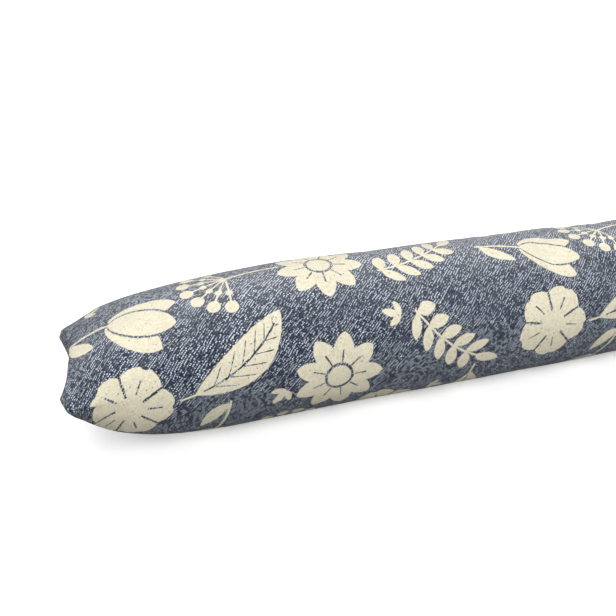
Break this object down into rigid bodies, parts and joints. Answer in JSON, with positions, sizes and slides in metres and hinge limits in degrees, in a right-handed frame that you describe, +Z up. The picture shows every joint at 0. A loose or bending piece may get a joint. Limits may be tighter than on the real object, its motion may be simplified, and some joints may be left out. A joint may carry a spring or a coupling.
{
  "type": "draught excluder",
  "caption": "Long stuffed cloth tube, round in section with pinched flat-sewn ends, that lies on the floor along the foot of a door to stop draughts.",
  "frame": {"origin": "on the floor, under the middle of the tube", "axes": "+X along the tube towards its right end as seen from the front, +Y to the back where the long seam runs, +Z up from the floor"},
  "size_m": [0.9, 0.131, 0.1215],
  "materials": {
    "cloth": "matt navy cotton in a fine twill weave with pale flecks, printed in cream with flowers and leaves"
  },
  "bodies": {
    "root": {"filled_cover": "cloth"}
  },
  "joints": []
}
